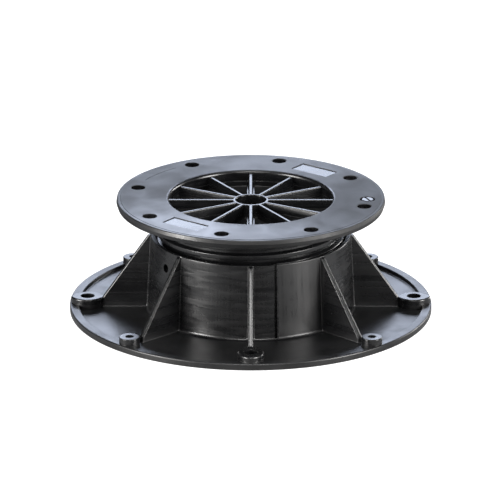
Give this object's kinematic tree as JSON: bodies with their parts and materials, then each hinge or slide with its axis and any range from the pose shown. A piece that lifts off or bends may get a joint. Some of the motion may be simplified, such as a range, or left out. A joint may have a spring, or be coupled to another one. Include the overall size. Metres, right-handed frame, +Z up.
{
  "type": "adjustable raised floor pedestal",
  "caption": "Screw-adjustable support pedestal: round gusseted base with a socket, and a flanged head on a threaded skirt that sets the floor height.",
  "frame": {"origin": "centre of the base's underside, on the ground", "axes": "+Z up along the screw's axis; -Y is the front gusset and pad, +X and -X are the side gussets and pads"},
  "size_m": [0.204, 0.204, 0.0665],
  "materials": {
    "base_plastic": "satin moulded polypropylene",
    "head_plastic": "satin moulded polypropylene"
  },
  "bodies": {
    "base": {"base": "base_plastic"},
    "head": {"head": "head_plastic"}
  },
  "joints": [
    {"name": "head_height", "type": "slide", "parent": "base", "child": "head", "axis": [0, 0, 1], "range_m": [-0.0157, 0.0135]}
  ]
}
